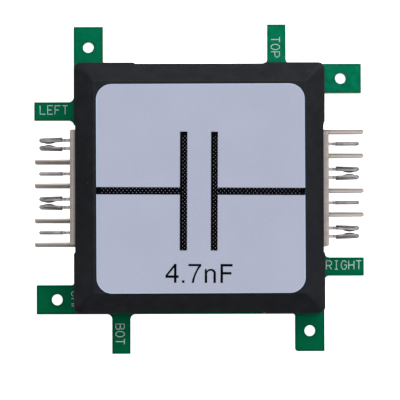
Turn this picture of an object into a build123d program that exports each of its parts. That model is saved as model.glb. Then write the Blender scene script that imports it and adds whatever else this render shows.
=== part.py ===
from build123d import *
import math
import os

# A plug-together circuit brick: a small board with four ears and four narrow tabs, two
# four-way hermaphroditic edge connectors, one chip capacitor, a bevelled cover and a label.
# Frame: origin at the centre of the board's underside, +X out of the right-hand connector,
# +Y towards the side with the top tab, +Z up through the label. Millimetres throughout.

# ---- Driving dimensions -------------------------------------------------------------------
GRID = 40.0  # centre distance of two bricks that are plugged together
PITCH = 4.0  # contact pitch

# Board
BOARD_SIDE = 34.2
BOARD_THICK = 1.6
EAR_WIDTH = 4.0
EAR_REACH = 22.2  # from the centre to the ear's end
TAB_WIDTH = 2.5
TAB_REACH = 22.5
TAB_OFFSET = 10.65  # from the board's centre line to the tab's
TAB_ROOT_RADIUS = 0.7  # inside corners beside the tabs
EAR_ROOT_RADIUS = 0.3  # and beside the ears, nearly sharp
SEAT_DEPTH = 0.3  # the board's edge is set back under each connector
SEAT_LENGTH = 17.6
EAR_CORNER_RADIUS = 0.4
EAR_HOLE_RADIUS = 0.75
EAR_HOLE_REACH = 19.4
VIA_RADIUS = 0.2
VIA_SPOTS = [(5.5, 6.0), (-5.5, 6.0), (5.5, -6.0), (-5.5, -6.0)]

# Cover
COVER_SIDE = 34.0
COVER_CORNER = 0.9
PLATEAU_SIDE = 28.7
PLATEAU_CORNER = 0.15
BEVEL_START = 6.4
COVER_TOP = 9.3
COVER_EDGE = 0.12  # rounding where the bevel starts and ends
INNER_CORNER = 0.3
WALL = 1.2
WINDOW_WIDTH = 17.2
WINDOW_TOP = 6.6  # a little above the bevel's start, so that the bevel's edge is set back here
WINDOW_CORNER = 0.4
WINDOW_FLARE = (0.2, 0.4)  # depth and width of the slanted edge at each end of a window
WINDOW_DEPTH = 3.0  # how far in each window is cut
PEG_SPOT = 14.0
BOSS_RADIUS = 1.2
PEG_RADIUS = 0.75
PEG_HOLE_RADIUS = 0.8
PEG_END = 0.15  # above the board's underside

# Label
LABEL_WIDTH = 28.1
LABEL_HEIGHT = 28.2
LABEL_THICK = 0.12
LABEL_CORNER = 2.1
LABEL_SHIFT = (0.14, -0.18)  # stuck on by hand, slightly off the middle
LABEL_TURN = 0.12  # and slightly turned, in degrees

# Connector housing, for the one on the right
HOUSING_BACK = 11.6
HOUSING_FACE = 17.55
HOUSING_WIDTH = 15.86
HOUSING_TOP = 6.2
HOUSING_LIP = 2.0  # underside of what overhangs the board
HOUSING_EDGE = 0.25  # chamfer and rounding of the body's outer edges
FIN_END = 22.3
FIN_THICK = 0.58
FIN_SIDES = (1.93, -1.31)  # from a blade's centre to the +Y faces of the fins beside it
FIN_TOP = 6.05
LEAD_IN = (0.32, 1.45)  # width and height of the steep chamfer along a fin's top +Y edge
FIN_END_ROUND = 0.12
FIN_TOP_ROUND = 0.06
LOCATOR_RADIUS = 0.6
LOCATOR_SPOT = (13.6, 7.2)
LOCATOR_END = 0.2
POCKET_STEP = 13.0  # a blade's pocket is wide for its tail up to here, then a slot
TINE_ROOM = 0.45  # free space beside a tine
CONTACT_LEVEL = 4.1  # height of the contacts' centre line

# Contacts
SHEET = 0.4
BLADE_THICK = 0.46
NECK_HEIGHT = 1.2
BLADE_HEIGHT = 2.0
BLADE_SHOULDER = 18.5
BLADE_STEM = 0.36  # the neck's thickness, where the strip isn't coined
BLADE_EDGE = 0.12
CONTACT_END = 21.75
CONTACT_BACK = 12.2
TINE_INNER = 0.36  # from the fork's middle to a neck's inner face
TINE_HINGE = 15.0
TINE_SHOULDER = 18.6
TINE_HEIGHT = 2.2
TINE_OUTER = 0.95  # from the fork's middle to the working part's outer face, at mid-height
TINE_CURVE = 1.9  # radius of the working part's rolled section
TINE_TOE_IN = 1.8  # degrees: the working part leans towards the fork's middle
BULGE_SPOT = 20.45
BULGE_RADIUS = 2.2
BULGE_HEIGHT = 1.7
BULGE_GAP = 0.06  # from the fork's middle to the contact bulge
TAIL_WIDTH = 1.0
TAIL_THICK = 0.3
TAIL_END = 9.8
TAIL_DROP = 11.3  # outer face of the tail's vertical run

# Copper, solder and the capacitor
COPPER = 0.035
PAD_THICK = 0.05
PAD_SIZE = (2.0, 1.6)
PAD_SPOT = 10.4
TRACK_WIDTH = 1.0
CHIP_SIZE = (3.2, 1.6, 1.2)
CHIP_CAP = 0.5  # length of each metal end
CHIP_PLATE = 0.05  # thickness of that metal
CHIP_PAD_SIZE = (1.3, 1.8)
CHIP_PAD_SPOT = 1.75

# ---- Derived dimensions -------------------------------------------------------------------
HALF = BOARD_SIDE / 2
DECK = BOARD_THICK  # the board's top face
PAD_TOP = DECK + PAD_THICK
SIGNAL = PITCH / 2  # the two inner contacts
GROUND = 3 * PITCH / 2  # the two outer contacts
BLADE_ROWS = {"ground": GROUND, "signal": -SIGNAL}
FORK_ROWS = {"signal": SIGNAL, "ground": -GROUND}
TINE_MIDDLE = TINE_INNER + SHEET / 2
FORK_OUTER = TINE_INNER + SHEET
CHIP_BASE = PAD_TOP + 0.03


def block(x0, x1, y0, y1, z0, z1):
    """A box between two corners."""
    middle = ((x0 + x1) / 2, (y0 + y1) / 2, (z0 + z1) / 2)
    return Pos(*middle) * Box(x1 - x0, y1 - y0, z1 - z0)


def post(x, y, radius, z0, z1):
    """A round bar along Z."""
    return Pos(x, y, (z0 + z1) / 2) * Cylinder(radius, z1 - z0)


def four_times(shape):
    """The shape at each of the four sides of the square."""
    return [Rot(0, 0, 90 * k) * shape for k in range(4)]


# ---- Board --------------------------------------------------------------------------------
def board_outline():
    """The square with an ear and a tab on each side, and an edge set back at each connector."""
    ear = Pos(-(HALF - EAR_WIDTH / 2), EAR_REACH / 2) * Rectangle(EAR_WIDTH, EAR_REACH)
    tab = Pos(TAB_OFFSET, TAB_REACH / 2) * Rectangle(TAB_WIDTH, TAB_REACH)
    outline = Rectangle(BOARD_SIDE, BOARD_SIDE)
    for side in four_times(ear + tab):
        outline += side

    def root_at(near):
        def found(v):
            low, high = sorted((abs(v.X), abs(v.Y)))
            return abs(high - HALF) < 1e-6 and min(abs(low - n) for n in near) < 1e-6

        return found

    def is_cut_corner(v):
        return math.dist((v.X, v.Y), (HALF - EAR_WIDTH, -EAR_REACH)) < 1e-6

    tab_roots = root_at((TAB_OFFSET - TAB_WIDTH / 2, TAB_OFFSET + TAB_WIDTH / 2))
    ear_roots = root_at((HALF - EAR_WIDTH,))
    outline = fillet(outline.vertices().filter_by(tab_roots), TAB_ROOT_RADIUS)
    outline = fillet(outline.vertices().filter_by(ear_roots), EAR_ROOT_RADIUS)
    outline = fillet(outline.vertices().filter_by(is_cut_corner), EAR_CORNER_RADIUS)
    for side in (1, -1):
        seat = RectangleRounded(4 * SEAT_DEPTH, SEAT_LENGTH, SEAT_DEPTH)
        outline -= Pos(side * (HALF + SEAT_DEPTH), 0) * seat
    return outline


def circuit_board():
    board = extrude(board_outline(), DECK)
    drill = post(-(HALF - EAR_WIDTH / 2), EAR_HOLE_REACH, EAR_HOLE_RADIUS, -1, DECK + 1)
    for hole in four_times(drill):
        board -= hole
    for hole in four_times(post(PEG_SPOT, PEG_SPOT, PEG_HOLE_RADIUS, -1, DECK + 1)):
        board -= hole
    for x, y in VIA_SPOTS:
        board -= post(x, y, VIA_RADIUS, -1, DECK + 1)
    for turn in (0, 180):
        for y in (LOCATOR_SPOT[1], -LOCATOR_SPOT[1]):
            hole = post(LOCATOR_SPOT[0], y, LOCATOR_RADIUS + 0.05, -1, DECK + 1)
            board -= Rot(0, 0, turn) * hole
    return board


def pad(x, y, size):
    return block(x - size[0] / 2, x + size[0] / 2, y - size[1] / 2, y + size[1] / 2, DECK, PAD_TOP)


def solder_pads():
    """Tinned pads: one under each contact's tail and two under the capacitor."""
    pads = []
    for turn in (0, 180):
        for y in (GROUND, SIGNAL, -SIGNAL, -GROUND):
            pads.append(Rot(0, 0, turn) * pad(PAD_SPOT, y, PAD_SIZE))
        pads.append(Rot(0, 0, turn) * pad(CHIP_PAD_SPOT, 0, CHIP_PAD_SIZE))
    return Compound(pads)


def copper_tracks():
    """Ground runs straight across at both edges; each signal pair joins at the capacitor."""
    top = DECK + COPPER
    w = TRACK_WIDTH / 2
    pad_edge = PAD_SPOT - PAD_SIZE[0] / 2
    chip_edge = CHIP_PAD_SPOT + CHIP_PAD_SIZE[0] / 2
    bar = pad_edge - 1.6
    tracks = []
    for y in (GROUND, -GROUND):
        track = block(-pad_edge, pad_edge, y - w, y + w, DECK, top)
        for spot in VIA_SPOTS:
            track -= post(*spot, VIA_RADIUS, DECK - 1, DECK + 1)
        tracks.append(track)
    for turn in (0, 180):
        comb = block(bar - w, bar + w, -SIGNAL - w, SIGNAL + w, DECK, top)
        comb += block(chip_edge, bar, -w, w, DECK, top)
        for y in (SIGNAL, -SIGNAL):
            comb += block(bar, pad_edge, y - w, y + w, DECK, top)
        tracks.append(Rot(0, 0, turn) * comb)
    return Compound([s for t in tracks for s in t.solids()])


# ---- Connector ----------------------------------------------------------------------------
def fin(y):
    """One thin guide wall whose +Y face is at y, rounded along its top and at its end."""
    root = HOUSING_FACE - HOUSING_EDGE - 0.25
    wall = block(root, FIN_END, y - FIN_THICK, y, HOUSING_LIP, FIN_TOP) - lead_in(y, FIN_TOP)
    end = [e for e in wall.edges() if e.center().X > FIN_END - 0.1 and e.length > 1]
    wall = fillet(end, FIN_END_ROUND)
    top = [e for e in wall.edges() if e.center().Z > FIN_TOP - 0.01 and e.center().X > HOUSING_FACE]
    return fillet(top, FIN_TOP_ROUND)


def lead_in(y, top):
    """What is cut away along the top edge of a wall whose +Y face is at y: a steep wedge."""
    width, height = LEAD_IN
    profile = Polyline(
        (y - width, top), (y, top - height), (y + 1, top - height), (y + 1, top + 1),
        (y - width, top + 1), close=True,
    )
    return extrude(Plane.YZ * make_face(profile), 2 * FIN_END)


def connector_housing():
    """The right-hand housing: body, two locating pegs, four fins and four contact pockets."""
    end = HOUSING_WIDTH / 2
    body = block(HOUSING_BACK, HOUSING_FACE, -end, end, DECK, HOUSING_TOP)
    body -= block(HALF, HOUSING_FACE + 1, -3 * PITCH, 3 * PITCH, DECK - 1, HOUSING_LIP)
    front = [
        e for e in body.edges().filter_by(Axis.Y)
        if e.center().Z > HOUSING_TOP - 0.01 and e.center().X > HOUSING_FACE - 0.01
    ]
    body = chamfer(front, HOUSING_EDGE)
    upright = [e for e in body.edges().filter_by(Axis.Z) if e.center().X > HOUSING_FACE - 0.01]
    body = fillet(upright, HOUSING_EDGE) - lead_in(end, HOUSING_TOP)
    for y in BLADE_ROWS.values():
        for side in FIN_SIDES:
            body += fin(y + side)
    for y in (LOCATOR_SPOT[1], -LOCATOR_SPOT[1]):
        body += post(LOCATOR_SPOT[0], y, LOCATOR_RADIUS, LOCATOR_END, DECK + 0.2)
    for y in BLADE_ROWS.values():
        body -= pocket(y, TAIL_WIDTH, NECK_HEIGHT + 0.5, HOUSING_BACK - 1, POCKET_STEP)
        body -= pocket(y, BLADE_STEM + 0.04, NECK_HEIGHT + 0.04, POCKET_STEP - 1, HOUSING_FACE + 1)
    for y in FORK_ROWS.values():
        body -= pocket(y, 2 * FORK_OUTER, NECK_HEIGHT + 0.2, HOUSING_BACK - 1, TINE_HINGE)
        front = 2 * (FORK_OUTER + TINE_ROOM)
        body -= pocket(y, front, TINE_HEIGHT + 0.4, TINE_HINGE - 0.4, HOUSING_FACE + 1)
    return body


def pocket(y, width, height, x0, x1):
    """The space cut for one contact, between two distances from the board's middle."""
    z0, z1 = CONTACT_LEVEL - height / 2, CONTACT_LEVEL + height / 2
    return block(x0, x1, y - width / 2, y + width / 2, z0, z1)


def tail(y):
    """A contact's soldered tail: out of the pocket, down the back and flat along the pad."""
    low = CONTACT_LEVEL - NECK_HEIGHT / 2
    y0, y1 = y - TAIL_WIDTH / 2, y + TAIL_WIDTH / 2
    shelf = block(TAIL_DROP - TAIL_THICK, CONTACT_BACK + 0.3, y0, y1, low, low + TAIL_THICK)
    drop = block(TAIL_DROP - TAIL_THICK, TAIL_DROP, y0, y1, PAD_TOP, low + TAIL_THICK)
    foot = block(TAIL_END, TAIL_DROP, y0, y1, PAD_TOP, PAD_TOP + TAIL_THICK)
    bent = shelf + drop + foot
    outer = [
        e for e in bent.edges().filter_by(Axis.Y)
        if abs(e.center().X - (TAIL_DROP - TAIL_THICK)) < 0.01 and e.center().Z > low
        or abs(e.center().X - TAIL_DROP) < 0.01 and e.center().Z < PAD_TOP + 0.01
    ]
    return fillet(outer, TAIL_THICK * 0.8)


def blade_contact(y):
    """A flat blade with a lower neck, coined edges and a round tip."""
    half, end = BLADE_THICK / 2, CONTACT_END - BLADE_THICK / 2
    neck = block(
        CONTACT_BACK, BLADE_SHOULDER + 0.2, y - BLADE_STEM / 2, y + BLADE_STEM / 2,
        CONTACT_LEVEL - NECK_HEIGHT / 2, CONTACT_LEVEL + NECK_HEIGHT / 2,
    )
    sides = Polyline(
        (end, y + half), (BLADE_SHOULDER, y + half), (BLADE_SHOULDER, y - half), (end, y - half)
    )
    plan = sides + ThreePointArc((end, y - half), (CONTACT_END, y), (end, y + half))
    blade = Pos(0, 0, CONTACT_LEVEL - BLADE_HEIGHT / 2) * extrude(make_face(plan), BLADE_HEIGHT)
    along = [
        e for e in blade.edges().filter_by(Axis.X)
        if abs(e.center().Z - CONTACT_LEVEL) > BLADE_HEIGHT / 2 - 0.01
    ]
    return fillet(along, BLADE_EDGE) + neck + tail(y)


def fork_base(y):
    """The fixed, folded end of a fork: a back wall, two arms and the soldered tail."""
    low, high = CONTACT_LEVEL - NECK_HEIGHT / 2, CONTACT_LEVEL + NECK_HEIGHT / 2
    end = TINE_HINGE - SHEET / 2 - 0.03
    fold = block(CONTACT_BACK, end, y - FORK_OUTER, y + FORK_OUTER, low, high)
    corners = [e for e in fold.edges().filter_by(Axis.Z) if e.center().X < CONTACT_BACK + 0.01]
    fold = fillet(corners, SHEET)
    fold -= block(CONTACT_BACK + SHEET, TINE_HINGE, y - TINE_INNER, y + TINE_INNER, low, high)
    return fold + tail(y)


def fork_tine(y, side):
    """One spring tine: a thin neck, then a wider working part rolled about its length.

    side is +1 or -1: which side of the fork's middle it stands on.
    """
    low, high = CONTACT_LEVEL - NECK_HEIGHT / 2, CONTACT_LEVEL + NECK_HEIGHT / 2
    neck = block(TINE_HINGE, TINE_SHOULDER + 0.3, TINE_INNER, FORK_OUTER, low, high)
    root = post(TINE_HINGE, TINE_MIDDLE, SHEET / 2, low, high)

    leaf = Pos(0, 0, CONTACT_LEVEL - TINE_HEIGHT / 2) * extrude(tine_plan(), TINE_HEIGHT)
    lean = Pos(TINE_SHOULDER, TINE_OUTER, CONTACT_LEVEL) * Rot(0, 0, -TINE_TOE_IN)
    along = lean * Pos(2, -TINE_CURVE, 0) * Rot(0, 90, 0)
    leaf &= along * Cylinder(TINE_CURVE, 9)
    leaf -= along * Cylinder(TINE_CURVE - SHEET, 9)
    leaf &= extrude(Plane.XZ * tine_side_view(), amount=-2.0)

    bulge = Pos(BULGE_SPOT, BULGE_GAP + BULGE_RADIUS, CONTACT_LEVEL) * Sphere(BULGE_RADIUS)
    low, high = CONTACT_LEVEL - BULGE_HEIGHT / 2, CONTACT_LEVEL + BULGE_HEIGHT / 2
    bulge &= block(BULGE_SPOT - 1, BULGE_SPOT + 1, 0, TINE_OUTER - SHEET / 2, low, high)
    tine = neck + root + leaf + bulge
    if side < 0:
        tine = mirror(tine, Plane.XZ)
    return Pos(0, y, 0) * tine


def tine_plan():
    """The working part seen from above: a leaf with a square shoulder and a rounded tip."""
    outer, inner, end = TINE_OUTER + 0.03, TINE_INNER, CONTACT_END
    bend = end - 0.55
    drop = (bend - TINE_SHOULDER) * math.tan(math.radians(TINE_TOE_IN))
    nose = ThreePointArc((bend, outer - drop), (end - 0.12, outer - drop - 0.16), (end, 0.45))
    heel = (end - 0.25, 0.2)
    sides = Polyline(nose @ 1, heel, (TINE_SHOULDER, inner), (TINE_SHOULDER, outer), nose @ 0)
    return make_face(nose + sides)


def tine_side_view():
    """The working part seen from the side: a square shoulder and a rounded, tapered end."""
    half, tip = TINE_HEIGHT / 2, 0.6
    taper = CONTACT_END - 0.8
    points = [
        (TINE_SHOULDER, CONTACT_LEVEL - half), (taper, CONTACT_LEVEL - half),
        (CONTACT_END, CONTACT_LEVEL - tip), (CONTACT_END, CONTACT_LEVEL + tip),
        (taper, CONTACT_LEVEL + half), (TINE_SHOULDER, CONTACT_LEVEL + half),
    ]
    face = make_face(Polyline(*points, close=True))
    ends = [v for v in face.vertices() if v.X > CONTACT_END - 0.01]
    return fillet(ends, 0.3)


def tail_solder():
    """The solder around the right-hand connector's four tails."""
    mounds = []
    for y in (GROUND, SIGNAL, -SIGNAL, -GROUND):
        mound = pad(PAD_SPOT, y, (PAD_SIZE[0] - 0.2, PAD_SIZE[1] - 0.1))
        mound = Pos(0, 0, PAD_THICK) * mound
        slope = extrude(mound.faces().sort_by(Axis.Z)[-1], 0.22, taper=35)
        mounds.append(mound + slope - tail(y))
    return mounds


# ---- Capacitor ----------------------------------------------------------------------------
def capacitor_body():
    length, width, height = (s - 2 * CHIP_PLATE for s in CHIP_SIZE)
    body = Pos(0, 0, CHIP_BASE + CHIP_SIZE[2] / 2) * Box(length, width, height)
    return fillet(body.edges(), 0.08)


def capacitor_terminals():
    """The two plated ends, each a cap with walls round the ceramic."""
    ends = []
    for side in (1, -1):
        x = side * (CHIP_SIZE[0] - CHIP_CAP) / 2
        cap = Pos(x, 0, CHIP_BASE + CHIP_SIZE[2] / 2) * Box(CHIP_CAP, *CHIP_SIZE[1:])
        cap = fillet(cap.edges(), 0.1)
        ends.append(cap - capacitor_body())
    return Compound([s for e in ends for s in e.solids()])


def capacitor_solder():
    """A sloping fillet of solder at each end of the capacitor."""
    end = CHIP_SIZE[0] / 2
    reach = CHIP_PAD_SPOT + CHIP_PAD_SIZE[0] / 2 - 0.05
    slope = make_face(Polyline(
        (end - CHIP_CAP, PAD_TOP), (reach, PAD_TOP), (reach, PAD_TOP + 0.05),
        (end + 0.35, PAD_TOP + 0.25), (end, CHIP_BASE + CHIP_SIZE[2] * 0.7),
        (end, CHIP_BASE), (end - CHIP_CAP, CHIP_BASE), close=True,
    ))
    bead = extrude(Plane.XZ * slope, amount=CHIP_SIZE[1] / 2, both=True)
    return Compound([*bead.solids(), *(Rot(0, 0, 180) * bead).solids()])


# ---- Cover and label ----------------------------------------------------------------------
def cover_solid(side, corner, top_side, top_corner, shoulder, top):
    """A square block with vertical sides up to the shoulder and a bevel above it."""
    base = extrude(Pos(0, 0, DECK) * RectangleRounded(side, side, corner), shoulder - DECK)
    rim = Pos(0, 0, shoulder) * RectangleRounded(side, side, corner)
    crown = Pos(0, 0, top) * RectangleRounded(top_side, top_side, top_corner)
    return base + loft([rim, crown])


def cover():
    """The moulded cover, hollow, with a window in each side and four pegs for the board."""
    outer = cover_solid(
        COVER_SIDE, COVER_CORNER, PLATEAU_SIDE, PLATEAU_CORNER, BEVEL_START, COVER_TOP
    )
    edges = [e for e in outer.edges() if abs(e.center().Z - COVER_TOP) < 0.01]
    edges += [e for e in outer.edges() if abs(e.center().Z - BEVEL_START) < 0.01]
    outer = fillet(edges, COVER_EDGE)
    slant = WALL * math.tan(math.radians(22.5))
    hollow = cover_solid(
        COVER_SIDE - 2 * WALL, INNER_CORNER, PLATEAU_SIDE - 2 * slant, INNER_CORNER / 3,
        BEVEL_START - slant, COVER_TOP - WALL,
    )
    shell = outer - hollow
    for opening in four_times(window()):
        shell -= opening
    boss = post(PEG_SPOT, PEG_SPOT, BOSS_RADIUS, DECK, COVER_TOP) & outer
    for support in four_times(boss):
        shell += support
    for peg in four_times(post(PEG_SPOT, PEG_SPOT, PEG_RADIUS, PEG_END, DECK + 0.5)):
        shell += peg
    return shell


def window():
    """The opening in one side wall, with slanted ends where it meets the outer face."""
    half, out = WINDOW_WIDTH / 2, COVER_SIDE / 2
    depth, flare = WINDOW_FLARE
    plan = Polyline(
        (-half, out - WINDOW_DEPTH), (half, out - WINDOW_DEPTH), (half, out - depth),
        (half + flare, out), (half + flare, out + 1), (-half - flare, out + 1),
        (-half - flare, out), (-half, out - depth), close=True,
    )
    opening = Pos(0, 0, DECK - 1) * extrude(make_face(plan), WINDOW_TOP - DECK + 1)
    top = [
        e for e in opening.edges().filter_by(Axis.Y)
        if e.center().Z > WINDOW_TOP - 0.01 and e.center().Y < out - depth
    ]
    return fillet(top, WINDOW_CORNER)


def label():
    """The printed sticker on the cover's flat top."""
    sheet = extrude(RectangleRounded(LABEL_WIDTH, LABEL_HEIGHT, LABEL_CORNER), LABEL_THICK)
    return Pos(*LABEL_SHIFT, COVER_TOP) * Rot(0, 0, LABEL_TURN) * sheet


# ---- Assembly -----------------------------------------------------------------------------
def build():
    nodes = {
        "circuit_board": circuit_board(),
        "solder_pads": solder_pads(),
        "copper_tracks": copper_tracks(),
        "capacitor_body": capacitor_body(),
        "capacitor_terminals": capacitor_terminals(),
        "capacitor_solder": capacitor_solder(),
        "cover": cover(),
        "label": label(),
    }
    for name, turn in (("right", 0), ("left", 180)):
        place = Rot(0, 0, turn)
        nodes[f"{name}_connector_housing"] = place * connector_housing()
        nodes[f"{name}_connector_solder"] = Compound(
            [s for mound in tail_solder() for s in (place * mound).solids()]
        )
        for circuit, y in BLADE_ROWS.items():
            nodes[f"{name}_{circuit}_blade"] = place * blade_contact(y)
        for circuit, y in FORK_ROWS.items():
            nodes[f"{name}_{circuit}_fork_base"] = place * fork_base(y)
            nodes[f"{name}_{circuit}_fork_tine_a"] = place * fork_tine(y, 1)
            nodes[f"{name}_{circuit}_fork_tine_b"] = place * fork_tine(y, -1)
    return nodes


os.makedirs("parts", exist_ok=True)
for node, shape in build().items():
    export_step(shape, f"parts/{node}.step")
room = GRID - HOUSING_FACE - FIN_END
print(f"plugged into a neighbour {GRID} mm away, the fins' ends stop {room:.2f} mm from its face")
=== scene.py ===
import math
import bmesh
import bpy
from mathutils import Matrix, Vector


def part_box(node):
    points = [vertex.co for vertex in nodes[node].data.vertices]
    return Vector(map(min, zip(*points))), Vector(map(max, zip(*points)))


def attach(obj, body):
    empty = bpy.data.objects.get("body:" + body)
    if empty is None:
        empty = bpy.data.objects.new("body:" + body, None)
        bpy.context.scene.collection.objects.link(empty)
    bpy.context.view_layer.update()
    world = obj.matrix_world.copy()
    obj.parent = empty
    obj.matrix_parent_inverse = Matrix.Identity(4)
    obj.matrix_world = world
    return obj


# A plug-together capacitor brick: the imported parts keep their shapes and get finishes, and
# this script adds what is printed, plated or etched: the label's print, the board's lettering,
# its copper pour and its via rings. Mesh coordinates are metres, sizes below millimetres.

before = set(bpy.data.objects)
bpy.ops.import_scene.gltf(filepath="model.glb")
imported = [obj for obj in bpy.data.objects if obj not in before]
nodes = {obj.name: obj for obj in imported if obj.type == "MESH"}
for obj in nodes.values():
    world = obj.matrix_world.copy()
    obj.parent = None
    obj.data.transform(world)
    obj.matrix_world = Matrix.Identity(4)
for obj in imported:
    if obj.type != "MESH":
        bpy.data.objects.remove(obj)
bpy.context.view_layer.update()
MM = 0.001

# ---- Driving dimensions, in millimetres ---------------------------------------------------
INK_THICK = 0.02
PLATE_WIDTHS = (0.99, 0.92)  # the capacitor symbol's left and right plate
PLATE_HEIGHT = 16.0
PLATE_SPOTS = (-2.31, 1.83)  # from the label's middle, which the symbol is printed a little off
LEAD_WIDTH = 0.98
SYMBOL_LEVEL = -0.36  # the leads' middle, from the label's
DOT_PERIOD = 0.517  # the black is printed with a fine screen of open dots
DOT_RADIUS = 0.038
DOT_COLUMNS = (-0.10, 0.155, 0.41)  # from a plate's middle line
DOT_ROWS = (-0.24, 0.05, 0.34)  # from a lead's middle line
DOT_SIDES = 10
DOT_THICK = INK_THICK / 4
VALUE_CAP = 2.54  # height of a capital
VALUE_BASELINE = -12.70
VALUE_TEXT = (("4", -4.70), (".", -2.475), ("7", -1.62), ("n", 0.58), ("F", 2.70))
VALUE_STROKE = 0.128  # as a share of a capital's height

LEGEND_CAP = 1.16  # lettering on the board
LEGEND_WIDTH = 0.72
LEGEND_PITCH = 1.02
LEGEND_STROKE = 0.16
LEGEND_THICK = 0.03
TAB_OFFSET = 10.65  # from the board's centre line to a tab's
TAB_TEXT_SPOT = 19.6  # from the centre to the middle of a tab's word
LEGENDS = (  # word, where its middle is, and whether it reads downward
    ("TOP", TAB_OFFSET - 0.17, TAB_TEXT_SPOT - 0.2, True),
    ("BOT", -TAB_OFFSET - 0.17, -TAB_TEXT_SPOT - 0.2, True),
    ("LEFT", -TAB_TEXT_SPOT - 0.2, TAB_OFFSET + 0.18, False),
    ("RIGHT", TAB_TEXT_SPOT + 0.16, -TAB_OFFSET + 0.2, False),
    ("CAP", -16.85, -15.3, True),
)

COPPER = 0.02  # thickness of the pour and of the via rings
POUR_INSET = 0.3
WELD = 0.001  # points of the board's mesh closer than this are one point
POUR_OPENING = 15.4  # half the side of the square that the upper pour leaves free
VIA_SPOTS = ((5.5, 6.0), (-5.5, 6.0), (5.5, -6.0), (-5.5, -6.0))
VIA_HOLE = 0.2
VIA_RING = 0.36
VIA_SIDES = 24

board_low, board_high = (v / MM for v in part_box("circuit_board"))
label_low, label_high = (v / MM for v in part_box("label"))
DECK = board_high.z
HOUSING_FACE = 17.55  # from the centre; beyond it a connector is only thin walls
LABEL_MIDDLE = (label_low + label_high) / 2
LABEL_TOP = label_high.z
LABEL_HALF = (14.05, 14.1)
LABEL_CORNER = 2.1
PRINT_TURN = -0.34  # degrees: the print is slightly out of square with the cover

NECK_END = 18.42  # from the centre; up to here a contact is only its neck
BARE_BANDS = ((18.12, 18.36), (18.6, 18.85))  # from the centre; where bronze shows at the shoulders
BAND_SOFTNESS = 0.04
EDGE_GLINT_INSET = (0.11, 0.05)  # from the label's edge: where the painted edge glint starts and where it is whole


# ---- Materials ----------------------------------------------------------------------------
def linear(*srgb):
    """An sRGB colour, 0 to 255, as the linear colour that a shader takes."""
    shares = [c / 255 for c in srgb]
    return (*[s / 12.92 if s <= 0.04045 else ((s + 0.055) / 1.055) ** 2.4 for s in shares], 1)


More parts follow.
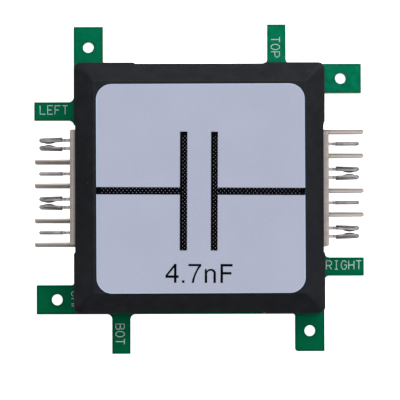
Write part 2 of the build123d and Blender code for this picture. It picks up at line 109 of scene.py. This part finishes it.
class Recipe:
    """A material being put together. Each method adds a node and gives back its output."""

    def __init__(self, name, roughness, metallic=0.0, **constants):
        self.material = bpy.data.materials.new(name)
        self.material.use_nodes = True
        self.tree = self.material.node_tree
        self.shader = self.tree.nodes["Principled BSDF"]
        self.coords = self.tree.nodes.new("ShaderNodeTexCoord")
        self.place = self.coords.outputs["Object"]
        self.relief = None
        self.shader.inputs["Roughness"].default_value = roughness
        self.shader.inputs["Metallic"].default_value = metallic
        for socket, value in constants.items():
            self.shader.inputs[socket.replace("_", " ")].default_value = value

    def link(self, value, socket):
        if isinstance(value, bpy.types.NodeSocket):
            self.tree.links.new(value, socket)
        else:
            socket.default_value = value

    def math(self, operation, a, b=0.0):
        node = self.tree.nodes.new("ShaderNodeMath")
        node.operation = operation
        self.link(a, node.inputs[0])
        self.link(b, node.inputs[1])
        return node.outputs[0]

    def span(self, value, low, high, to_low=0.0, to_high=1.0):
        """The value's range low to high stretched to another range, without going past it."""
        node = self.tree.nodes.new("ShaderNodeMapRange")
        for socket, item in zip(node.inputs, (value, low, high, to_low, to_high)):
            self.link(item, socket)
        return node.outputs[0]

    def length(self, a, b):
        """The length of a vector from its two parts."""
        squares = self.math("ADD", self.math("MULTIPLY", a, a), self.math("MULTIPLY", b, b))
        return self.math("SQRT", squares)

    def stretched(self, x, y, z, turn=0.0):
        """Object coordinates scaled along each axis, and turned about Z by so many degrees."""
        node = self.tree.nodes.new("ShaderNodeMapping")
        self.link(self.place, node.inputs["Vector"])
        node.inputs["Scale"].default_value = (x, y, z)
        node.inputs["Rotation"].default_value = (0, 0, math.radians(turn))
        return node.outputs[0]

    def noise(self, size, detail=2.0, place=None):
        """Soft random mottling whose grains are about size millimetres across, 0 to 1."""
        node = self.tree.nodes.new("ShaderNodeTexNoise")
        self.link(place or self.place, node.inputs["Vector"])
        node.inputs["Scale"].default_value = 1 / (size * MM)
        node.inputs["Detail"].default_value = detail
        return node.outputs["Fac"]

    def cells(self, size):
        """Distance to the nearest of scattered points, as a share of their spacing, size."""
        node = self.tree.nodes.new("ShaderNodeTexVoronoi")
        self.link(self.place, node.inputs["Vector"])
        node.inputs["Scale"].default_value = 1 / (size * MM)
        return node.outputs["Distance"]

    def axis(self, letter, source="Object"):
        node = self.tree.nodes.new("ShaderNodeSeparateXYZ")
        self.link(self.coords.outputs[source], node.inputs[0])
        return node.outputs[letter]

    def ripple(self, letter, period):
        """A smooth wave along one axis, -1 to 1, period in millimetres."""
        turns = self.math("MULTIPLY", self.axis(letter), math.tau / (period * MM))
        return self.math("SINE", turns)

    def upright(self):
        """1 on faces that stand upright, 0 on level ones."""
        return self.span(self.math("ABSOLUTE", self.axis("Z", "Normal")), 0.5, 0.6, 1, 0)

    def strip_side(self):
        """-1 to 1: which way a face looks along its connector's own row of contacts."""
        outward = self.math("SIGN", self.axis("X"))
        return self.math("MULTIPLY", outward, self.axis("Y", "Normal"))

    def reach(self):
        """Distance from the module's middle plane, along X."""
        return self.math("ABSOLUTE", self.axis("X"))

    def band(self, value, low, high, strength):
        """strength between two distances in millimetres, 0 outside them, with soft edges."""
        soft = BAND_SOFTNESS
        rise = self.span(value, (low - soft) * MM, (low + soft) * MM, 0, strength)
        fall = self.span(value, (high - soft) * MM, (high + soft) * MM, 1, 0)
        return self.math("MULTIPLY", rise, fall)

    def mix(self, share, first, second):
        node = self.tree.nodes.new("ShaderNodeMix")
        node.data_type = "RGBA"
        self.link(share, node.inputs["Factor"])
        self.link(first, node.inputs["A"])
        self.link(second, node.inputs["B"])
        return node.outputs["Result"]

    def colour(self, value):
        self.link(value, self.shader.inputs["Base Color"])

    def roughness(self, value):
        self.link(value, self.shader.inputs["Roughness"])

    def bump(self, height, depth):
        """Relief of so many millimetres over the height's range 0 to 1, on top of earlier ones."""
        node = self.tree.nodes.new("ShaderNodeBump")
        node.inputs["Distance"].default_value = depth * MM
        self.link(height, node.inputs["Height"])
        if self.relief:
            self.link(self.relief, node.inputs["Normal"])
        self.relief = node.outputs[0]
        self.link(self.relief, self.shader.inputs["Normal"])


def board_finish(name, top, pale):
    """Green solder mask over woven glass, and the bare laminate on cut edges."""
    m = Recipe(name, 0.2, Specular_Tint=(0.02, 1.0, 0.65, 1))
    weave = m.math("MULTIPLY", m.ripple("X", 0.55), m.ripple("Y", 0.48))
    mottle = m.noise(2.5, 3)
    green = m.mix(m.span(mottle, 0.35, 0.65), top, pale)
    green = m.mix(m.span(weave, -1, 1, 0, 0.22), green, pale)
    layers = m.ripple("Z", 0.2)
    laminate = m.mix(m.span(layers, -0.5, 0.9), linear(120, 112, 66), linear(176, 162, 108))
    laminate = m.mix(m.span(m.noise(0.15, 3), 0.4, 0.7), laminate, linear(92, 96, 50))
    cut = m.upright()
    m.colour(m.mix(cut, green, laminate))
    glossy = m.span(m.noise(0.8, 4), 0.3, 0.7, 0.15, 0.27)
    m.roughness(m.math("MAXIMUM", glossy, m.math("MULTIPLY", cut, 0.75)))
    m.bump(weave, 0.0008)
    m.bump(m.noise(0.5, 2), 0.003)
    m.bump(m.math("MULTIPLY", m.noise(0.06, 2), cut), 0.02)
    return m.material


def metal_finish(name, bright, dull, grain, shine, relief):
    """Tin or solder: cloudy between two greys, with a fine grain."""
    m = Recipe(name, shine[0], metallic=1.0)
    m.tone = m.mix(m.span(m.noise(grain * 6, 3), 0.35, 0.65), dull, bright)
    m.colour(m.tone)
    m.roughness(m.span(m.noise(grain * 2, 4), 0.3, 0.7, *shine))
    m.bump(m.noise(grain, 3), relief)
    return m


def contact_finish():
    """Tin plate over bronze: painted shade on one side of the strip, pale necks, bronze at the
    shoulders.
    """
    m = metal_finish("tinned_bronze", linear(206, 204, 208), linear(158, 156, 160), 0.25,
                     (0.34, 0.5), 0.004)
    # Painted shade: faces that look one way along the contact row are darkened, the same way round
    # on both connectors.
    tone = m.mix(m.span(m.strip_side(), -0.25, 0.45, 0, 0.8), m.tone, linear(92, 91, 95))
    neck = m.span(m.reach(), NECK_END * MM, (NECK_END + 0.1) * MM, 0.45, 0)
    tone = m.mix(neck, tone, linear(232, 230, 236))
    for low, high in BARE_BANDS:
        tone = m.mix(m.band(m.reach(), low, high, 0.55), tone, linear(112, 84, 72))
    m.colour(tone)
    lines = m.noise(0.05, 2, m.stretched(0.06, 1, 1))
    m.bump(lines, 0.003)
    return m.material


def cover_finish():
    """Satin black styrene: spark-eroded grain, slight sink unevenness, hairline scuffs, dust."""
    m = Recipe("black_styrene", 0.4, Specular_IOR_Level=0.26, Specular_Tint=(0.86, 0.9, 1.0, 1))
    scuffs = m.noise(0.12, 3, m.stretched(0.04, 1, 1, 37))
    scuffs = m.math("MULTIPLY", m.span(scuffs, 0.66, 0.74), m.span(m.noise(5, 2), 0.5, 0.62))
    black = m.mix(m.span(m.noise(1.8, 4), 0.35, 0.65), linear(15, 16, 20), linear(23, 24, 28))
    black = m.mix(m.math("MULTIPLY", scuffs, 0.35), black, linear(86, 87, 92))
    m.colour(m.mix(m.span(m.cells(2.2), 0.022, 0.034, 0.6, 0), black, linear(120, 121, 127)))
    satin = m.span(m.noise(0.5, 4), 0.3, 0.7, 0.36, 0.5)
    m.roughness(m.math("ADD", satin, m.math("MULTIPLY", scuffs, 0.15)))
    m.bump(m.noise(0.11, 3), 0.006)
    m.bump(m.noise(4, 2), 0.02)
    return m.material


def label_finish():
    """Pale satin film with a faint tooth, bluish white cut sides, and a painted bluish glint along
    the edge of its face.
    """
    m = Recipe("label_film", 0.5, Specular_IOR_Level=0.3)
    face = m.mix(m.span(m.noise(0.22, 3), 0.35, 0.65), linear(168, 173, 195), linear(173, 178, 199))
    face = m.mix(m.span(m.noise(7, 2), 0.35, 0.65, 0, 0.5), face, linear(176, 181, 201))
    reach = []
    for letter, half in zip("XY", LABEL_HALF):
        middle = getattr(LABEL_MIDDLE, letter.lower())
        away = m.math("ABSOLUTE", m.math("SUBTRACT", m.axis(letter), middle * MM))
        reach.append(m.math("MAXIMUM", m.math("SUBTRACT", away, (half - LABEL_CORNER) * MM), 0.0))
    # Painted highlight: a bluish glint along the edge of the label's face, in the same colour as
    # its cut sides.
    start, whole = ((LABEL_CORNER - inset) * MM for inset in EDGE_GLINT_INSET)
    rim = m.span(m.length(*reach), start, whole, 0, 0.7)
    m.colour(m.mix(m.math("MAXIMUM", rim, m.upright()), face, linear(186, 212, 240)))
    m.roughness(m.span(m.noise(0.4, 3), 0.3, 0.7, 0.44, 0.56))
    m.bump(m.noise(0.09, 2), 0.0025)
    m.bump(m.noise(3, 2), 0.006)
    return m.material


def ink_finish():
    """Black print, a little uneven in tone and gloss."""
    m = Recipe("black_ink", 0.45, Specular_IOR_Level=0.01)
    m.colour(m.mix(m.span(m.noise(0.3, 3), 0.35, 0.7), linear(4, 4, 5), linear(10, 10, 12)))
    m.roughness(m.span(m.noise(0.25, 3), 0.3, 0.7, 0.35, 0.52))
    m.bump(m.noise(0.07, 2), 0.002)
    return m.material


def connector_finish():
    """Natural glass-filled nylon: flow streaks, fibre specks; painted light on the thin walls,
    painted shade on one side of each wall and painted light on the other.
    """
    m = Recipe("natural_nylon", 0.45, Specular_IOR_Level=0.12)
    streaks = m.noise(0.7, 4, m.stretched(0.25, 1, 0.6))
    tone = m.mix(m.span(streaks, 0.3, 0.7), linear(160, 151, 146), linear(174, 166, 160))
    # Painted light: the thin walls beyond HOUSING_FACE are made paler.
    painted_light_thin_walls = m.span(m.reach(), HOUSING_FACE * MM, (HOUSING_FACE + 0.5) * MM, 0, 0.4)
    tone = m.mix(painted_light_thin_walls, tone, linear(224, 212, 206))
    # Painted shade on faces that look one way along the row, painted light on faces that look the
    # other way.
    tone = m.mix(m.span(m.strip_side(), 0.15, 0.9, 0, 0.6), tone, linear(92, 84, 78))
    tone = m.mix(m.span(m.strip_side(), -0.9, -0.15, 0.6, 0), tone, linear(228, 217, 211))
    specks = m.span(m.cells(0.16), 0.1, 0.3, 0.45, 0)
    m.colour(m.mix(specks, tone, linear(138, 129, 121)))
    m.roughness(m.span(m.noise(0.3, 4), 0.3, 0.7, 0.38, 0.56))
    m.bump(m.noise(0.12, 3, m.stretched(0.4, 1, 1)), 0.008)
    m.bump(m.noise(1.2, 2), 0.01)
    return m.material


def ceramic_finish():
    """Fired brown ceramic with darker grains."""
    m = Recipe("fired_ceramic", 0.5)
    tone = m.mix(m.span(m.noise(0.25, 4), 0.35, 0.65), linear(128, 96, 66), linear(156, 121, 86))
    m.colour(m.mix(m.span(m.cells(0.07), 0.1, 0.25, 0.4, 0), tone, linear(98, 70, 48)))
    m.roughness(m.span(m.noise(0.1, 3), 0.3, 0.7, 0.42, 0.6))
    m.bump(m.noise(0.05, 3), 0.004)
    return m.material


def legend_finish():
    """White marking ink that lets a little of the green through where it is thin."""
    m = Recipe("white_legend", 0.55)
    thin = m.span(m.noise(0.12, 3), 0.42, 0.72, 0, 0.5)
    m.colour(m.mix(thin, linear(200, 212, 208), linear(126, 164, 148)))
    m.roughness(m.span(m.noise(0.08, 2), 0.3, 0.7, 0.45, 0.65))
    m.bump(m.noise(0.05, 2), 0.004)
    return m.material


def floor_finish():
    """A plain white sweep, bright enough to leave no edge of its own."""
    m = Recipe("white_sweep", 0.9, Emission_Color=(1, 1, 1, 1), Emission_Strength=0.95)
    m.colour(m.mix(m.noise(40, 2), (0.88, 0.88, 0.88, 1), (0.92, 0.92, 0.92, 1)))
    return m.material


MASK = (linear(0, 70, 38), linear(1, 78, 44))
POUR = (linear(0, 80, 44), linear(2, 88, 50))
finishes = {
    "solder_mask": board_finish("solder_mask", *MASK),
    "masked_copper": board_finish("masked_copper", *POUR),
    "tinned_pad": metal_finish("tinned_pad", linear(208, 208, 205), linear(168, 169, 168), 0.2,
                               (0.25, 0.4), 0.006).material,
    "solder": metal_finish("solder", linear(214, 214, 212), linear(150, 151, 150), 0.15,
                           (0.18, 0.34), 0.012).material,
    "capacitor_ceramic": ceramic_finish(),
    "terminal_tin": metal_finish("terminal_tin", linear(200, 199, 196), linear(164, 163, 160), 0.1,
                                 (0.34, 0.5), 0.004).material,
    "cover_plastic": cover_finish(),
    "label_film": label_finish(),
    "connector_plastic": connector_finish(),
    "contact_metal": contact_finish(),
}
black_ink = ink_finish()
white_legend = legend_finish()
for node in nodes.values():
    for material_slot in node.material_slots:
        material_slot.material = finishes[material_slot.material.name.split(".")[0]]


# ---- Building thin pieces -----------------------------------------------------------------
def piece(name, mesh, material, body):
    """A mesh in the row frame, in metres, as a piece that moves with a body."""
    mesh.materials.clear()
    mesh.materials.append(material)
    thing = bpy.data.objects.new(name, mesh)
    bpy.context.scene.collection.objects.link(thing)
    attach(thing, body)
    return thing


def thicken(bm, thickness):
    """Turns a flat sheet of faces that look up into a closed slab, thickness millimetres high."""
    sheet = list(bm.faces)
    raised = bmesh.ops.extrude_face_region(bm, geom=sheet, use_keep_orig=True)["geom"]
    lifted = [v for v in raised if isinstance(v, bmesh.types.BMVert)]
    bmesh.ops.translate(bm, vec=(0, 0, thickness * MM), verts=lifted)
    bmesh.ops.reverse_faces(bm, faces=sheet)
    bmesh.ops.recalc_face_normals(bm, faces=bm.faces)


def on_label(outlines):
    """Outlines drawn from the label's middle, moved and turned to where they are printed."""
    turn = Matrix.Rotation(math.radians(PRINT_TURN), 2)
    return [[turn @ Vector(point) + LABEL_MIDDLE.xy for point in outline] for outline in outlines]


def printed(name, outlines, level, thickness, material, body):
    """Closed outlines in millimetres, filled and raised. An outline inside another is a hole."""
    bm = bmesh.new()
    for outline in outlines:
        ring = [bm.verts.new((x * MM, y * MM, level * MM)) for x, y in outline]
        for a, b in zip(ring, ring[1:] + ring[:1]):
            bm.edges.new((a, b))
    bmesh.ops.triangle_fill(bm, use_beauty=True, edges=bm.edges, normal=(0, 0, 1))
    for face in bm.faces:
        if face.normal.z < 0:
            face.normal_flip()
    thicken(bm, thickness)
    mesh = bpy.data.meshes.new(name)
    bm.to_mesh(mesh)
    bm.free()
    return piece(name, mesh, material, body)


def arc(start, middle, end, steps=6):
    """Points on the circle through three points, without the last one."""
    (ax, ay), (bx, by), (cx, cy) = start, middle, end
    d = 2 * (ax * (by - cy) + bx * (cy - ay) + cx * (ay - by))
    a2, b2, c2 = ax * ax + ay * ay, bx * bx + by * by, cx * cx + cy * cy
    ox = (a2 * (by - cy) + b2 * (cy - ay) + c2 * (ay - by)) / d
    oy = (a2 * (cx - bx) + b2 * (ax - cx) + c2 * (bx - ax)) / d
    radius = math.hypot(ax - ox, ay - oy)
    first = math.atan2(ay - oy, ax - ox)
    sweep = math.remainder(math.atan2(cy - oy, cx - ox) - first, math.tau)
    angles = [first + sweep * k / steps for k in range(steps)]
    return [(ox + radius * math.cos(t), oy + radius * math.sin(t)) for t in angles]


def round_outline(x, y, radius, sides):
    turns = [math.tau * k / sides for k in range(sides)]
    return [(x + radius * math.cos(t), y + radius * math.sin(t)) for t in turns]


# ---- The label's print --------------------------------------------------------------------
def value_glyphs():
    """Plain sans-serif outlines, in shares of the capital height, from the baseline's left end."""
    w = VALUE_STROKE
    stem, bar = 0.453, 0.258
    four = [[(0, bar), (stem, bar), (stem, 0), (stem + w, 0), (stem + w, bar), (0.693, bar),
             (0.693, bar + w), (stem + w, bar + w), (stem + w, 1), (stem + 0.022, 1), (0, bar + w)],
            [(0.125, bar + w), (stem, bar + w), (stem, 0.80)]]
    seven = [[(0, 0.88), (0, 0.994), (0.68, 0.994),
              *arc((0.68, 0.902), (0.425, 0.49), (0.292, 0)), (0.292, 0),
              *arc((0.174, 0), (0.305, 0.445), (0.532, 0.88)), (0.532, 0.88)]]
    small_n = [[(0, 0), (0, 0.725), (0.103, 0.725),
                *arc((0.103, 0.622), (0.2, 0.712), (0.33, 0.741)),
                *arc((0.33, 0.741), (0.53, 0.66), (0.588, 0.46)), (0.588, 0.46), (0.588, 0),
                (0.588 - w, 0), *arc((0.588 - w, 0.45), (0.43, 0.59), (0.305, 0.641)),
                *arc((0.305, 0.641), (0.16, 0.575), (w, 0.395)), (w, 0.395), (w, 0)]]
    middle = 0.447
    capital_f = [[(0, 0), (0, 1), (0.634, 1), (0.634, 1 - w), (w, 1 - w), (w, middle + w),
                  (0.575, middle + w), (0.575, middle), (w, middle), (w, 0)]]
    point = [[(0, 0), (w, 0), (w, w), (0, w)]]
    return {"4": four, "7": seven, "n": small_n, "F": capital_f, ".": point}


def value_outlines():
    glyphs = value_glyphs()
    outlines = []
    for letter, left in VALUE_TEXT:
        for glyph in glyphs[letter]:
            outline = [(left + VALUE_CAP * x, VALUE_BASELINE + VALUE_CAP * y) for x, y in glyph]
            outlines.append(outline)
    return outlines


def plate_and_lead(plate, width, end):
    """One plate of the symbol with the lead that runs from it to the label's edge at end."""
    outward = 1 if end > plate else -1
    half, tall, thin = width / 2, PLATE_HEIGHT / 2, LEAD_WIDTH / 2
    y = SYMBOL_LEVEL
    near, far = plate + outward * half, plate - outward * half
    return [(far, y - tall), (near, y - tall), (near, y - thin), (end, y - thin),
            (end, y + thin), (near, y + thin), (near, y + tall), (far, y + tall)]


def screen_dots(plate, width, end):
    """The open dots of one plate and its lead, in staggered lines."""
    outward = 1 if end > plate else -1
    dots = []
    for number, offset in enumerate(DOT_COLUMNS):
        for k in range(int(PLATE_HEIGHT / DOT_PERIOD)):
            along = (k + 0.5 * (number % 2) + 0.25) * DOT_PERIOD - PLATE_HEIGHT / 2
            dots.append((plate + offset, SYMBOL_LEVEL + along))
    for number, offset in enumerate(DOT_ROWS):
        start = width * 0.65 + DOT_PERIOD / 2 * (number % 2)
        for k in range(int((abs(end - plate) - start) / DOT_PERIOD)):
            dots.append((plate + outward * (start + k * DOT_PERIOD), SYMBOL_LEVEL + offset))
    return dots


halves = list(zip(PLATE_SPOTS, PLATE_WIDTHS, (-LABEL_HALF[0], LABEL_HALF[0])))
symbol = [plate_and_lead(*half) for half in halves]
dots = [round_outline(*dot, DOT_RADIUS, DOT_SIDES) for half in halves for dot in screen_dots(*half)]
printed("label_symbol", on_label(symbol), LABEL_TOP, INK_THICK, black_ink, "cover")
printed("label_value", on_label(value_outlines()), LABEL_TOP, INK_THICK, black_ink, "cover")
printed("label_screen_dots", on_label(dots), LABEL_TOP + INK_THICK, DOT_THICK,
        finishes["label_film"], "cover")


# ---- The board's lettering, copper pour and via rings -------------------------------------
LETTERS = {
    "A": [[(0, 0), (0, 0.6), (0.5, 1), (1, 0.6), (1, 0)], [(0, 0.35), (1, 0.35)]],
    "B": [[(0, 0.52), (0.65, 0.52), (0.95, 0.65), (0.95, 0.88), (0.65, 1), (0, 1), (0, 0),
           (0.7, 0), (1, 0.14), (1, 0.38), (0.65, 0.52)]],
    "C": [[(1, 0.8), (0.7, 1), (0.3, 1), (0, 0.7), (0, 0.3), (0.3, 0), (0.7, 0), (1, 0.2)]],
    "E": [[(1, 1), (0, 1), (0, 0), (1, 0)], [(0, 0.5), (0.75, 0.5)]],
    "F": [[(1, 1), (0, 1), (0, 0)], [(0, 0.5), (0.75, 0.5)]],
    "G": [[(1, 0.8), (0.7, 1), (0.3, 1), (0, 0.7), (0, 0.3), (0.3, 0), (0.7, 0), (1, 0.25),
           (1, 0.5), (0.6, 0.5)]],
    "H": [[(0, 0), (0, 1)], [(1, 0), (1, 1)], [(0, 0.5), (1, 0.5)]],
    "I": [[(0.5, 0), (0.5, 1)], [(0.2, 0), (0.8, 0)], [(0.2, 1), (0.8, 1)]],
    "L": [[(0, 1), (0, 0), (1, 0)]],
    "O": [[(0.3, 0), (0, 0.3), (0, 0.7), (0.3, 1), (0.7, 1), (1, 0.7), (1, 0.3), (0.7, 0),
           (0.3, 0)]],
    "P": [[(0, 0), (0, 1), (0.7, 1), (1, 0.85), (1, 0.6), (0.7, 0.45), (0, 0.45)]],
    "R": [[(0, 0), (0, 1), (0.7, 1), (1, 0.85), (1, 0.6), (0.7, 0.45), (0, 0.45)],
          [(0.5, 0.45), (1, 0)]],
    "T": [[(0, 1), (1, 1)], [(0.5, 1), (0.5, 0)]],
}


def legend(word, x, y, downward=False):
    """A word on the board, its middle at x, y: thin rounded strokes of ink."""
    curve = bpy.data.curves.new("legend_strokes", "CURVE")
    curve.dimensions = "3D"
    curve.bevel_depth = LEGEND_STROKE / 2 * MM
    curve.bevel_resolution = 2
    curve.use_fill_caps = True
    length = (len(word) - 1) * LEGEND_PITCH + LEGEND_WIDTH
    for number, letter in enumerate(word):
        for stroke in LETTERS[letter]:
            spline = curve.splines.new("POLY")
            spline.points.add(len(stroke) - 1)
            for point, (u, v) in zip(spline.points, stroke):
                across = number * LEGEND_PITCH + u * LEGEND_WIDTH - length / 2
                up = (v - 0.5) * LEGEND_CAP
                point.co = (across * MM, up * MM, 0, 1)
    strokes = bpy.data.objects.new("legend_strokes", curve)
    mesh = bpy.data.meshes.new_from_object(strokes)
    bpy.data.objects.remove(strokes)
    bpy.data.curves.remove(curve)
    flat = Matrix.Diagonal((1, 1, 2 * LEGEND_THICK / LEGEND_STROKE, 1))
    turn = Matrix.Rotation(math.radians(-90 if downward else 0), 4, "Z")
    mesh.transform(Matrix.Translation(Vector((x, y, DECK)) * MM) @ turn @ flat)
    for polygon in mesh.polygons:
        polygon.use_smooth = True
    piece("legend_" + word.lower(), mesh, white_legend, "base")


def copper_pour(name, side, opening):
    """The copper under the mask on one face of the board, set back from every edge and hole.

    side is +1 for the upper face and -1 for the lower; opening is half the side of a square
    that is left free in the middle, or 0 for none.
    """
    bm = bmesh.new()
    bm.from_mesh(nodes["circuit_board"].data)
    bmesh.ops.remove_doubles(bm, verts=bm.verts, dist=WELD * MM)
    others = [f for f in bm.faces if f.normal.z * side < 0.99]
    bmesh.ops.delete(bm, geom=others, context="FACES")
    rim = bmesh.ops.inset_region(bm, faces=bm.faces, thickness=POUR_INSET * MM, use_boundary=True,
                                 use_even_offset=True)["faces"]
    bmesh.ops.delete(bm, geom=rim, context="FACES")
    if opening:
        for axis in ((1, 0, 0), (0, 1, 0)):
            for sign in (1, -1):
                cut = Vector(axis) * sign
                everything = [*bm.verts, *bm.edges, *bm.faces]
                edge = cut * opening * MM
                bmesh.ops.bisect_plane(bm, geom=everything, plane_co=edge, plane_no=cut)
        inner = []
        for face in bm.faces:
            middle = face.calc_center_median()
            if max(abs(middle.x), abs(middle.y)) < opening * MM:
                inner.append(face)
        bmesh.ops.delete(bm, geom=inner, context="FACES")
    if side < 0:
        bmesh.ops.reverse_faces(bm, faces=bm.faces)
        bmesh.ops.translate(bm, vec=(0, 0, -COPPER * MM), verts=bm.verts)
    thicken(bm, COPPER)
    mesh = bpy.data.meshes.new(name)
    bm.to_mesh(mesh)
    bm.free()
    piece(name, mesh, finishes["masked_copper"], "base")


for word, x, y, downward in LEGENDS:
    legend(word, x, y, downward)
copper_pour("copper_pour_upper", 1, POUR_OPENING)
copper_pour("copper_pour_lower", -1, 0)
via_rings = []
for x, y in VIA_SPOTS:
    for radius in (VIA_RING, VIA_HOLE):
        via_rings.append(round_outline(x, y, radius, VIA_SIDES))
printed("via_rings_lower", via_rings, board_low.z - COPPER, COPPER, finishes["tinned_pad"],
        "base")


# ---- Stage, light and camera, in metres ---------------------------------------------------
FLOOR_HALF = 1.5
SKY_STOPS = (  # height, from straight down at 0 to straight up at 1, and brightness there
    (0.0, 0.8), (0.26, 0.6), (0.4, 0.08), (0.5, 0.1),
    (0.675, 0.6), (0.85, 1.35), (0.96, 0.4), (1.0, 0.15),
)
SKY_LEAN = (0.3, 0.55, 0)  # how much brighter the tent is towards +X and +Y
LEAN_START = (-0.35, -0.1)  # the lean comes in between these heights, -1 to 1
CAMERA_SPOT = (-0.006, -0.016, 0.5)
CAMERA_TARGET = (0.00013, -0.00152, 0.0016)
CAMERA_ROLL = -0.15  # degrees
SENSOR_WIDTH = 36.0  # millimetres
SEEN_WIDTH = 0.0548  # of the plane z = 0


def make_floor():
    bm = bmesh.new()
    level = (board_low.z - 2 * COPPER) * MM
    corners = []
    for x, y in ((-1, -1), (1, -1), (1, 1), (-1, 1)):
        corners.append(bm.verts.new((x * FLOOR_HALF, y * FLOOR_HALF, level)))
    bm.faces.new(corners)
    mesh = bpy.data.meshes.new("floor")
    bm.to_mesh(mesh)
    bm.free()
    mesh.materials.append(floor_finish())
    floor = bpy.data.objects.new("floor", mesh)
    bpy.context.scene.collection.objects.link(floor)
    floor.visible_glossy = False


def make_world():
    """A soft tent over a pale table: dim at the horizon, brightest high up and towards +X, +Y."""
    world = bpy.data.worlds.new("tent")
    world.use_nodes = True
    tree = world.node_tree
    coords = tree.nodes.new("ShaderNodeTexCoord")
    parts = tree.nodes.new("ShaderNodeSeparateXYZ")
    tree.links.new(coords.outputs["Generated"], parts.inputs[0])
    height = tree.nodes.new("ShaderNodeValToRGB")
    raised = tree.nodes.new("ShaderNodeMapRange")
    raised.inputs["From Min"].default_value = -1.0
    tree.links.new(parts.outputs["Z"], raised.inputs["Value"])
    tree.links.new(raised.outputs[0], height.inputs["Fac"])
    ramp = height.color_ramp
    ramp.elements[0].position = SKY_STOPS[0][0]
    ramp.elements[1].position = SKY_STOPS[-1][0]
    for position, _ in SKY_STOPS[1:-1]:
        ramp.elements.new(position)
    for element, (_, grey) in zip(ramp.elements, SKY_STOPS):
        element.color = (grey, grey, grey, 1)
    side = tree.nodes.new("ShaderNodeVectorMath")
    side.operation = "DOT_PRODUCT"
    tree.links.new(coords.outputs["Generated"], side.inputs[0])
    side.inputs[1].default_value = SKY_LEAN
    above = tree.nodes.new("ShaderNodeMapRange")
    above.inputs["From Min"].default_value = LEAN_START[0]
    above.inputs["From Max"].default_value = LEAN_START[1]
    tree.links.new(parts.outputs["Z"], above.inputs["Value"])
    lean = tree.nodes.new("ShaderNodeMath")
    lean.operation = "MULTIPLY_ADD"
    lean.inputs[2].default_value = 1.0
    tree.links.new(side.outputs["Value"], lean.inputs[0])
    tree.links.new(above.outputs[0], lean.inputs[1])
    sky = tree.nodes["Background"]
    tree.links.new(height.outputs["Color"], sky.inputs["Color"])
    tree.links.new(lean.outputs[0], sky.inputs["Strength"])
    bpy.context.scene.world = world


def softbox(name, spot, size, power):
    """A square area light, in metres and watts, that faces the object."""
    light = bpy.data.lights.new(name, "AREA")
    light.size = size
    light.energy = power
    lamp = bpy.data.objects.new(name, light)
    lamp.location = spot
    lamp.rotation_mode = "QUATERNION"
    lamp.rotation_quaternion = (-Vector(spot)).to_track_quat("-Z", "Y")
    bpy.context.scene.collection.objects.link(lamp)


def make_camera():
    """A long lens half a metre above, a little to the left and the front of the object."""
    spot = Vector(CAMERA_SPOT)
    target = Vector(CAMERA_TARGET)
    camera = bpy.data.cameras.new("camera")
    camera.sensor_width = SENSOR_WIDTH
    camera.lens = camera.sensor_width * spot.z / SEEN_WIDTH
    back = (spot - target).normalized()
    right = Vector((0, 1, 0)).cross(back).normalized()
    axes = Matrix((right, back.cross(right), back)).transposed().to_4x4()
    roll = Matrix.Rotation(math.radians(CAMERA_ROLL), 4, "Z")
    holder = bpy.data.objects.new("camera", camera)
    holder.matrix_world = Matrix.Translation(spot) @ axes @ roll
    bpy.context.scene.collection.objects.link(holder)
    bpy.context.scene.camera = holder


make_floor()
make_world()
softbox("gloss_card", (0.07, 0.12, 1.0), 0.2, 0.42)
softbox("key_softbox", (0.5, 0.6, 0.75), 0.6, 3.0)
softbox("back_softbox", (0.25, 0.8, 0.35), 0.6, 1.5)
make_camera()
bpy.context.scene.view_settings.view_transform = "Standard"
